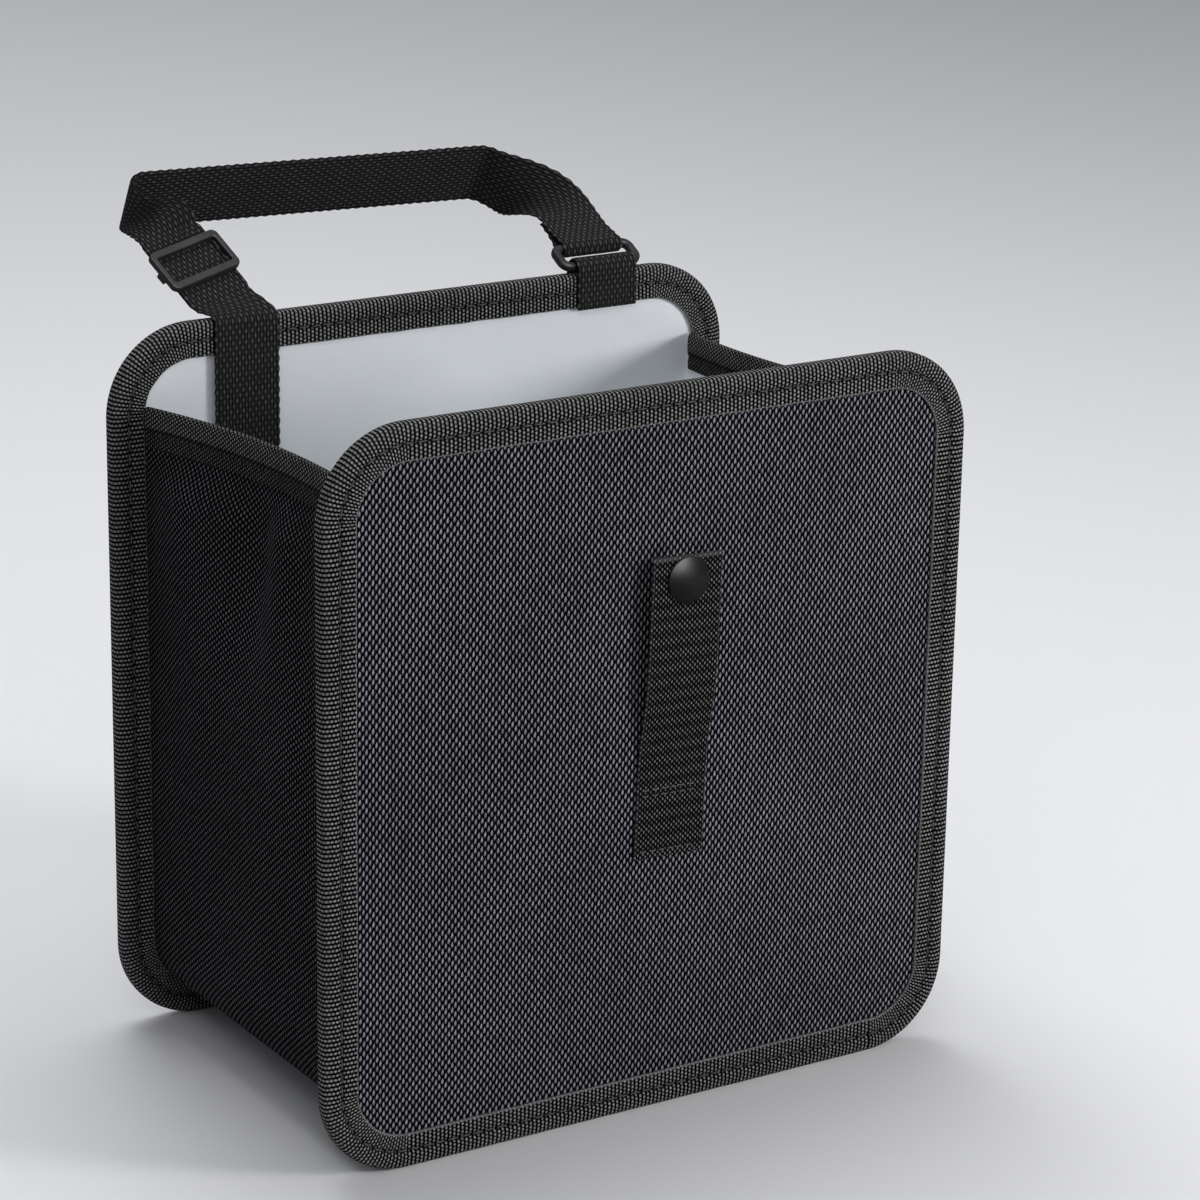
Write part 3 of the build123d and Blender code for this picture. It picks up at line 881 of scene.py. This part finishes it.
def ribbon(name, frames, width, scallop=0.0, snug=None):
    """Webbing with rounded woven edges along a line of frames, straight-edged where snug(length) is 1."""
    half = width / 2
    edge = [(-half, 0.0), (-half + 0.15, 0.55), (-half + 0.6, 0.95), (-half + 1.3, 1.0)]
    flat = [(half * (2 * k / WEB_COLUMNS - 1), 1.0) for k in range(1, WEB_COLUMNS)]
    upper = edge + flat + [(-x, h) for x, h in reversed(edge)]
    ring = upper + [(x, -h) for x, h in reversed(upper[1:-1])]
    frames = respaced(frames, WEB_STEP)
    run = lengths([f[0] for f in frames])
    rows = []
    for (point, along, across), s in zip(frames, run):
        flat_across = unit(across)
        face = flat_across.cross(unit(along - flat_across * along.dot(flat_across)))
        pressed = snug(s / MM) if snug else 0.0
        turn = 2 * math.pi * s / (SCALLOP_PITCH * MM)
        row = []
        for x, h in ring:
            rim = ease((abs(x) - half + SCALLOP_RIM) / SCALLOP_RIM)
            wave = scallop * (1 - pressed) * rim * 0.5 * (math.cos(turn + (math.pi if x > 0 else 0.0)) - 1)
            wave += SNUG_SPREAD * pressed * rim
            square = h + (math.copysign(1.0, h) - h) * pressed if h else 0.0
            lift = square * WEB / 2 + SNUG_RISE * pressed
            row.append(point + across * (x + math.copysign(wave, x)) + face * lift)
        rows.append(row)

    def uv(i, j):
        return (run[i], ring[j % len(ring)][0] * MM)

    return grid_mesh(name, rows, uv, wrap_columns=True, capped=True), (width * MM, run[-1])


def strap_root():
    """Sewn end inside the back panel, step over the binding's leg and bend over the panel's edge."""
    foot_height = PANEL_HEIGHT - STRAP_INSIDE
    sewn_foot = (at(STRAP_X, BACK_INSIDE - HALF_WEB, foot_height), Z_DIR, X_DIR)
    sewn_top = (at(STRAP_X, BACK_INSIDE - HALF_WEB, foot_height + STRAP_SEWN), Z_DIR, X_DIR)
    stepped = (at(STRAP_X, LEG_INSIDE - HALF_WEB, foot_height + STRAP_SEWN + STRAP_STEP), Z_DIR, X_DIR)
    centre = at(STRAP_X, LEG_INSIDE + BINDING_ROUND, PANEL_HEIGHT - BINDING_ROUND)
    radius = BINDING_ROUND + HALF_WEB
    bend = []
    for i in range(BEND_STEPS + 1):
        a = (math.pi / 2 - RUN_SLOPE) * i / BEND_STEPS
        out = Vector((0, -math.cos(a), math.sin(a)))
        bend.append((centre + out * radius, Vector((0, math.sin(a), math.cos(a))), X_DIR))
    frames = straight(sewn_foot, sewn_top, 6) + twist(sewn_top, stepped, 8)[1:]
    return frames + straight(stepped, bend[0], 20)[1:] + bend[1:]


def strap_run(bend_end):
    """First and last frame of the straight run that the slide buckle holds."""
    uphill = Vector((0, math.cos(RUN_SLOPE), math.sin(RUN_SLOPE)))
    across = X_DIR * math.cos(RUN_TILT) + uphill * math.sin(RUN_TILT)
    along = uphill * math.cos(RUN_TILT) - X_DIR * math.sin(RUN_TILT)
    start = bend_end[0] + uphill * RUN_RISE - X_DIR * RUN_SIDE
    return (start, along, across), (start + along * RUN_LENGTH, along, across)


def post_wrap(post, start, end, steps):
    """Turn of webbing round a leaning post, between two angles in degrees."""
    post_axis = Vector((0, -math.sin(POST_LEAN), math.cos(POST_LEAN)))
    post_back = Vector((0, math.cos(POST_LEAN), math.sin(POST_LEAN)))
    turn = []
    for i in range(steps + 1):
        a = math.radians(start + (end - start) * i / steps)
        out = X_DIR * math.cos(a) + post_back * math.sin(a)
        along = X_DIR * math.sin(a) - post_back * math.cos(a)
        turn.append((post + out * (POST_BORE + WEB / 2), along, post_axis))
    return turn


def ring_loop():
    """Strap's end round the ring's upper bar and back along itself."""
    low, high = [Vector(corner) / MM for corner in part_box("strap_ring")]
    ring_up = Vector((0, math.cos(RING_SLOPE), math.sin(RING_SLOPE)))
    ring_face = X_DIR.cross(ring_up)
    bar = (low + high) / 2 + ring_up * RING_BAR
    radius = RING_BAR_RADIUS + HALF_WEB
    reach = 4 * radius
    start = math.degrees(math.atan2(HALF_WEB, reach) + math.acos(radius / math.hypot(reach, HALF_WEB)))
    loop = [(bar + ring_up * up + ring_face * HALF_WEB, -ring_up, X_DIR) for up in (LOOP_TAIL, reach)]
    for i in range(LOOP_STEPS + 1):
        a = math.radians(start + (360 - 2 * start) * i / LOOP_STEPS)
        out = ring_up * math.cos(a) + ring_face * math.sin(a)
        loop.append((bar + out * radius, ring_face * math.cos(a) - ring_up * math.sin(a), X_DIR))
    return loop + [(bar + ring_up * up - ring_face * HALF_WEB, ring_up, X_DIR) for up in (reach, LOOP_TAIL)]


def strap_frames():
    """Frames of the whole strap, and where its straight run starts and ends along it."""
    frames = strap_root()
    run_start, run_end = strap_run(frames[-1])
    frames += twist(frames[-1], run_start, 12)[1:]
    run_range = [lengths([f[0] for f in frames])[-1] / MM]
    frames += straight(run_start, run_end, 20)[1:]
    run_range.append(lengths([f[0] for f in frames])[-1] / MM)
    twist_start = len(frames) - 1

    left = at(POST_MIDDLE - POST_SPACING / 2, DEPTH + POST_BEHIND, PANEL_HEIGHT + POST_RISE)
    right = left + X_DIR * POST_SPACING - Z_DIR * RIGHT_POST_DROP
    left_wrap = post_wrap(left, *LEFT_WRAP)
    right_wrap = post_wrap(right, *RIGHT_WRAP)
    frames += twist(run_end, left_wrap[0], LEFT_TWIST_STEPS, LEFT_TWIST_LEAD)[1:] + left_wrap[1:]
    cut_end = twist_start + LEFT_TWIST_STEPS + LEFT_CUT_STEPS
    frames = cut_corner(frames, twist_start, cut_end, LEFT_CUT_FADE, LEFT_LIFT)
    frames += straight(left_wrap[-1], right_wrap[0], 40)[1:] + right_wrap[1:]

    loop = ring_loop()
    frames += twist(frames[-1], loop[0], 32)[1:] + loop[1:]
    return frames, run_range


def tab_frames():
    """Inside leg, arch over the ring's bar and outside leg of the ring's tab."""
    centre_y = DEPTH - PANEL_EDGE / 2
    arch_z = PANEL_HEIGHT + TAB_RISE
    radius = PANEL_EDGE / 2 + CONTACT + WEB / 2
    inside = [(at(RING_X, centre_y - radius, z), Z_DIR, X_DIR) for z in (TAB_FOOT, arch_z)]
    outside = [(at(RING_X, centre_y + radius, z), -Z_DIR, X_DIR) for z in (arch_z, TAB_FOOT)]
    frames = straight(*inside, TAB_LEG_STEPS)
    for i in range(1, TAB_ARCH_STEPS + 1):
        a = math.pi - math.pi * i / TAB_ARCH_STEPS
        out = Vector((0, math.cos(a), math.sin(a)))
        along = Vector((0, math.sin(a), -math.cos(a)))
        frames.append((at(RING_X, centre_y, arch_z) + out * radius, along, X_DIR))
    return frames + straight(*outside, TAB_LEG_STEPS)[1:]


def closure_frames():
    """Closure strap: flat where it is sewn, then lifted over the snap."""
    base = at(CLOSURE_X, COVER_FACE - WEB / 2, CLOSURE_FOOT)
    lifted = base - Y_DIR * SNAP_LIFT
    places = (
        base, base + CLOSURE_UP * CLOSURE_SEWN,
        lifted + CLOSURE_UP * (CLOSURE_SEWN + CLOSURE_RISE), lifted + CLOSURE_UP * CLOSURE_LENGTH,
    )
    foot, sewn, risen, tip = [(place, CLOSURE_UP, CLOSURE_ACROSS) for place in places]
    frames = straight(foot, sewn, CLOSURE_STEPS) + twist(sewn, risen, CLOSURE_STEPS)[1:]
    return frames + straight(risen, tip, CLOSURE_STEPS)[1:]


# Thread

def stitches(name, rows, length, gap, radius):
    """Short threads along rows of (line of points, outward directions), each sunk at its ends."""
    points, faces = [], []
    ring = range(THREAD_SIDES)
    for line, face in rows:
        run = lengths(line, 1.0)
        k = 0
        place = gap / 2
        while place + length < run[-1]:
            first = len(points)
            for t, lift, thick in THREAD_ARCH:
                s = place + length * t
                while k < len(run) - 2 and run[k + 1] < s:
                    k += 1
                share = (s - run[k]) / max(1e-9, run[k + 1] - run[k])
                point = line[k].lerp(line[k + 1], share)
                out = face[k]
                side = unit(unit(line[k + 1] - line[k]).cross(out))
                for c in ring:
                    a = 2 * math.pi * c / THREAD_SIDES
                    rise = out * (lift + thick * math.sin(a)) + side * (thick * math.cos(a))
                    points.append((point + rise * radius) * MM)
            for i in range(len(THREAD_ARCH) - 1):
                start = first + i * THREAD_SIDES
                for c in ring:
                    a, b = start + c, start + (c + 1) % THREAD_SIDES
                    faces.append((a, b, b + THREAD_SIDES, a + THREAD_SIDES))
            faces.append(tuple(first + c for c in reversed(ring)))
            faces.append(tuple(first + (len(THREAD_ARCH) - 1) * THREAD_SIDES + c for c in ring))
            place += length + gap
    return new_piece(name, points, faces)


def row_across(centre, across, out, width):
    """One straight row of stitches over a strap's width."""
    half = (width - ROW_MARGIN) / 2
    return [centre - across * half, centre + across * half], [out, out]


# Cloths: name, gap (near-black, partly painted shade between the yarns), yarn, crossing yarn, pitch, half
# size of a crown, relief and roughness
cover_cloth = woven(
    "cover_cloth", (0.0015, 0.0015, 0.002, 1), (0.266, 0.270, 0.308, 1), (0.003, 0.003, 0.004, 1),
    (1.18, 3.17), (0.47, 1.06), 0.30, 0.75, taper=0.42,
)
# Side-wall yarn darker than the cover's: partly a darker cloth, partly painted shade of the side walls
gusset_cloth = woven(
    "gusset_cloth", (0.001, 0.001, 0.0013, 1), (0.105, 0.105, 0.115, 1), (0.002, 0.002, 0.0025, 1),
    (1.34, 2.17), (0.53, 0.64), 0.28, 0.68,
)
binding_tape = woven(
    "binding_tape", (0.0012, 0.0012, 0.0012, 1), (0.25, 0.25, 0.247, 1), (0.003, 0.003, 0.003, 1),
    (1.5, 1.35), (0.48, 0.57), 0.28, 0.75, finish=tape_finish,
)
hem_tape = woven(
    "hem_tape", (0.002, 0.002, 0.0018, 1), (0.22, 0.218, 0.214, 1), (0.002, 0.002, 0.002, 1),
    (1.25, 1.5), (0.44, 0.54), 0.26, 0.70, finish=hem_finish,
)
webbing = woven(
    "webbing", (0.008, 0.008, 0.008, 1), (0.072, 0.072, 0.071, 1), (0.026, 0.026, 0.026, 1),
    (1.18, SCALLOP_PITCH), (0.48, 0.88), 0.30, 0.75, swap=True,
)
closure_webbing = woven(
    "closure_webbing", (0.002, 0.002, 0.002, 1), (0.145, 0.144, 0.142, 1), (0.002, 0.002, 0.002, 1),
    (0.95, 1.9), (0.38, 0.54), 0.30, 0.70, swap=True, finish=closure_finish,
)
lining_film = film("lining_film", (0.70, 0.727, 0.751, 1), (0.625, 0.655, 0.685, 1))

# Hard finishes: name, colour, worn colour, roughness, grain scale and grain depth
thread = moulded(
    "thread", (0.085, 0.083, 0.078, 1), (0.13, 0.127, 0.12, 1), 0.7, 4000.0, 0.05, specular=0.025,
)
dark_thread = moulded(
    "dark_thread", (0.018, 0.018, 0.017, 1), (0.04, 0.04, 0.038, 1), 0.7, 4000.0, 0.05, specular=0.025,
)
plastic = moulded(
    "buckle_plastic", (0.018, 0.018, 0.019, 1), (0.035, 0.035, 0.036, 1), 0.5, 1800.0, 0.02, specular=0.06,
)
lacquer = moulded(
    "snap_lacquer", (0.002, 0.0018, 0.002, 1), (0.003, 0.0028, 0.0028, 1), 0.49, 2500.0, 0.003,
    specular=0.095,
)
snap_metal = moulded(
    "snap_metal", (0.55, 0.54, 0.52, 1), (0.7, 0.69, 0.66, 1), 0.32, 900.0, 0.01, metallic=1.0,
)
board_card = moulded("board_card", (0.12, 0.11, 0.10, 1), (0.16, 0.15, 0.14, 1), 0.8, 600.0, 0.05)

# Panels
sheets = [
    ("front_cover_cloth", "front_cover", "front_board",
     COVER_FACE, COVER_FACE + COVER, COVER_SWELL, 1.0, cover_cloth, "cover_cloth"),
    ("back_cover_cloth", "back_cover", "back_board",
     DEPTH - COVER_FACE, DEPTH - COVER_FACE - COVER, COVER_SWELL, 2.0, cover_cloth, "cover_cloth"),
    ("front_lining_film", "front_lining", "front_board",
     PANEL_INSIDE, LINING_FACE, LINING_SWELL, 3.0, lining_film, "lining_film"),
    ("back_lining_film", "back_lining", "back_board",
     DEPTH - PANEL_INSIDE, DEPTH - LINING_FACE, LINING_SWELL, 4.0, lining_film, "lining_film"),
]
for name, node, board, near, far, puff, seed, material, slot in sheets:
    piece = dress(panel_sheet(name, near, far, puff, seed), material, slot, node)

# Bindings and their stitches
for node, board, from_back in (("front_binding", "front_board", False), ("back_binding", "back_board", True)):
    piece = dress(binding(node + "_tape", from_back), binding_tape, "binding_tape", node)
    rows = []
    for depth, out in ((STITCH_SINK, -Y_DIR), (PANEL_EDGE - STITCH_SINK, Y_DIR)):
        y = DEPTH - depth if from_back else depth
        line = []
        for x, z, out_x, out_z in panel_path():
            line.append(at(x - out_x * STITCH_INSET, y, z - out_z * STITCH_INSET))
        line.append(line[0])
        rows.append((line, [-out if from_back else out] * len(line)))
    dress(stitches(node + "_thread", rows, *BINDING_STITCHES), thread, "binding_tape")

# Side walls, base, their lining and hems
piece, flat = strip("gusset_cloth", BINDING_WIDTH, CLOTH)
dress(piece, gusset_cloth, "gusset_cloth", "gusset")
piece, flat = strip("gusset_lining_film", BINDING_WIDTH + CLOTH + CONTACT, LINING)
dress(piece, lining_film, "lining_film", "gusset_lining")
for node, side in (("left_hem", -1), ("right_hem", 1)):
    piece, flat = hem(node + "_tape", side)
    dress(piece, hem_tape, "binding_tape", node)
    rows = []
    for out, face in ((HEM_STITCH_OUT, X_DIR), (-CLOTH - LINING - HEM_STITCH_OUT, -X_DIR)):
        line = [hem_point(side, y, out, HEM_STITCH) for y in hem_depths]
        rows.append((line, [face * side] * len(line)))
    dress(stitches(node + "_thread", rows, *HEM_STITCHES), dark_thread, "binding_tape")

# Straps
frames, (run_from, run_to) = strap_frames()


def in_buckle(s):
    """1 along the straight run that the slide buckle holds, 0 clear of it."""
    return ease((s - run_from + 2) / 3) * ease((run_to + 1 - s) / 3)


piece, flat = ribbon("hanging_strap_webbing", frames, STRAP_WIDTH, SCALLOP, in_buckle)
dress(piece, webbing, "webbing", "hanging_strap")
piece, flat = ribbon("ring_tab_webbing", tab_frames(), STRAP_WIDTH, SCALLOP)
dress(piece, webbing, "webbing", "ring_tab")
piece, flat = ribbon("closure_strap_webbing", closure_frames(), CLOSURE_WIDTH)
dress(piece, closure_webbing, "webbing", "closure_strap")

# Stitches of the straps
rows = []
for height in CLOSURE_ROWS:
    centre = at(CLOSURE_X, COVER_FACE - WEB, CLOSURE_FOOT) + CLOSURE_UP * height
    rows.append(row_across(centre, CLOSURE_ACROSS, -Y_DIR, CLOSURE_WIDTH))
dress(stitches("closure_thread", rows, *CLOSURE_STITCHES), thread, "webbing")
rows = []
for height in STRAP_ROWS:
    centre = at(STRAP_X, BACK_INSIDE - HALF_WEB - WEB / 2, PANEL_HEIGHT - STRAP_INSIDE + height)
    rows.append(row_across(centre, X_DIR, -Y_DIR, STRAP_WIDTH))
tab_face = PANEL_EDGE / 2 + CONTACT + WEB
for out in (-1, 1):
    for height in TAB_ROWS:
        centre = at(RING_X, DEPTH - PANEL_EDGE / 2 + out * tab_face, TAB_FOOT + height)
        rows.append(row_across(centre, X_DIR, Y_DIR * out, STRAP_WIDTH))
dress(stitches("strap_thread", rows, *STRAP_STITCHES), dark_thread, "webbing")

# Hard parts keep their CAD shape and take these finishes
finishes = {
    "slide_buckle": plastic, "strap_ring": plastic, "snap_cap": lacquer, "snap_socket": snap_metal,
    "snap_stud": snap_metal, "snap_post": snap_metal, "front_board": board_card, "back_board": board_card,
}
for node, material in finishes.items():
    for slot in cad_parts[node].material_slots:
        slot.material = material

# Floor and light
FLOOR_SIZE = 12.0
AIM = (0, 0, 0.15)
WHITE = (1.0, 1.0, 1.0)

bpy.ops.mesh.primitive_plane_add(size=FLOOR_SIZE, location=(0, 0, 0))
floor = bpy.context.object
floor.name = "studio_floor"
floor_shader = Shader("studio_floor", Base_Color=(0.75, 0.75, 0.76, 1), Roughness=0.9, Specular_IOR_Level=0.0)
floor.data.materials.append(floor_shader.material)

scene = bpy.context.scene
scene.view_settings.view_transform = "Standard"
world = bpy.data.worlds.new("studio")
world.use_nodes = True
background = world.node_tree.nodes["Background"].inputs
background["Color"].default_value = (0.93, 0.95, 1.0, 1)
background["Strength"].default_value = 0.26
scene.world = world


def soft_light(name, place, aim, size, power, colour, diffuse=True, glossy=True):
    """Round light; diffuse or glossy turned off keeps it off matt surfaces or out of reflections."""
    lamp = bpy.data.lights.new(name, "AREA")
    lamp.shape = "DISK"
    lamp.size = size
    lamp.energy = power
    lamp.color = colour
    holder = bpy.data.objects.new(name, lamp)
    holder.location = place
    holder.rotation_euler = (Vector(aim) - Vector(place)).to_track_quat("-Z", "Y").to_euler()
    holder.visible_diffuse = diffuse
    holder.visible_glossy = glossy
    scene.collection.objects.link(holder)


soft_light("key_light", (0.99, -1.13, 0.52), (0, 0, 0.12), 0.42, 14.0, (1.0, 0.99, 0.98), glossy=False)
soft_light("top_light", (0.1, 0.35, 1.5), AIM, 1.0, 13.0, (0.97, 0.98, 1.0))
soft_light("left_light", (-0.75, -1.1, 1.25), AIM, 0.7, 3.5, WHITE, glossy=False)
soft_light("left_card", (-0.18, -0.92, 1.25), AIM, 1.2, 250.0, WHITE, diffuse=False)
soft_light("far_light", (0, 1.9, 2.0), (0, 1.7, 0), 1.6, 15.0, (0.98, 0.99, 1.0))

# Camera at the photograph's viewing angle
AZIMUTH = math.radians(-32.444)
ELEVATION = math.radians(17.6006)
ROLL = math.radians(0.9543)
DISTANCE = 1317.04
TARGET = at(16.695, 60.0, 156.271)
FOCAL_PIXELS = 3968.57
IMAGE_PIXELS = 1200
SENSOR = 36.0

back = Vector((
    math.sin(AZIMUTH) * math.cos(ELEVATION), -math.cos(AZIMUTH) * math.cos(ELEVATION), math.sin(ELEVATION),
))
right = Z_DIR.cross(back).normalized()
up = back.cross(right)
right, up = right * math.cos(ROLL) + up * math.sin(ROLL), up * math.cos(ROLL) - right * math.sin(ROLL)
camera_data = bpy.data.cameras.new("photo_camera")
camera_data.sensor_width = SENSOR
camera_data.lens = FOCAL_PIXELS / IMAGE_PIXELS * SENSOR
camera = bpy.data.objects.new("photo_camera", camera_data)
turn = Matrix((right, up, back)).transposed().to_4x4()
camera.matrix_world = Matrix.Translation((TARGET + back * DISTANCE) * MM) @ turn
scene.collection.objects.link(camera)
scene.camera = camera
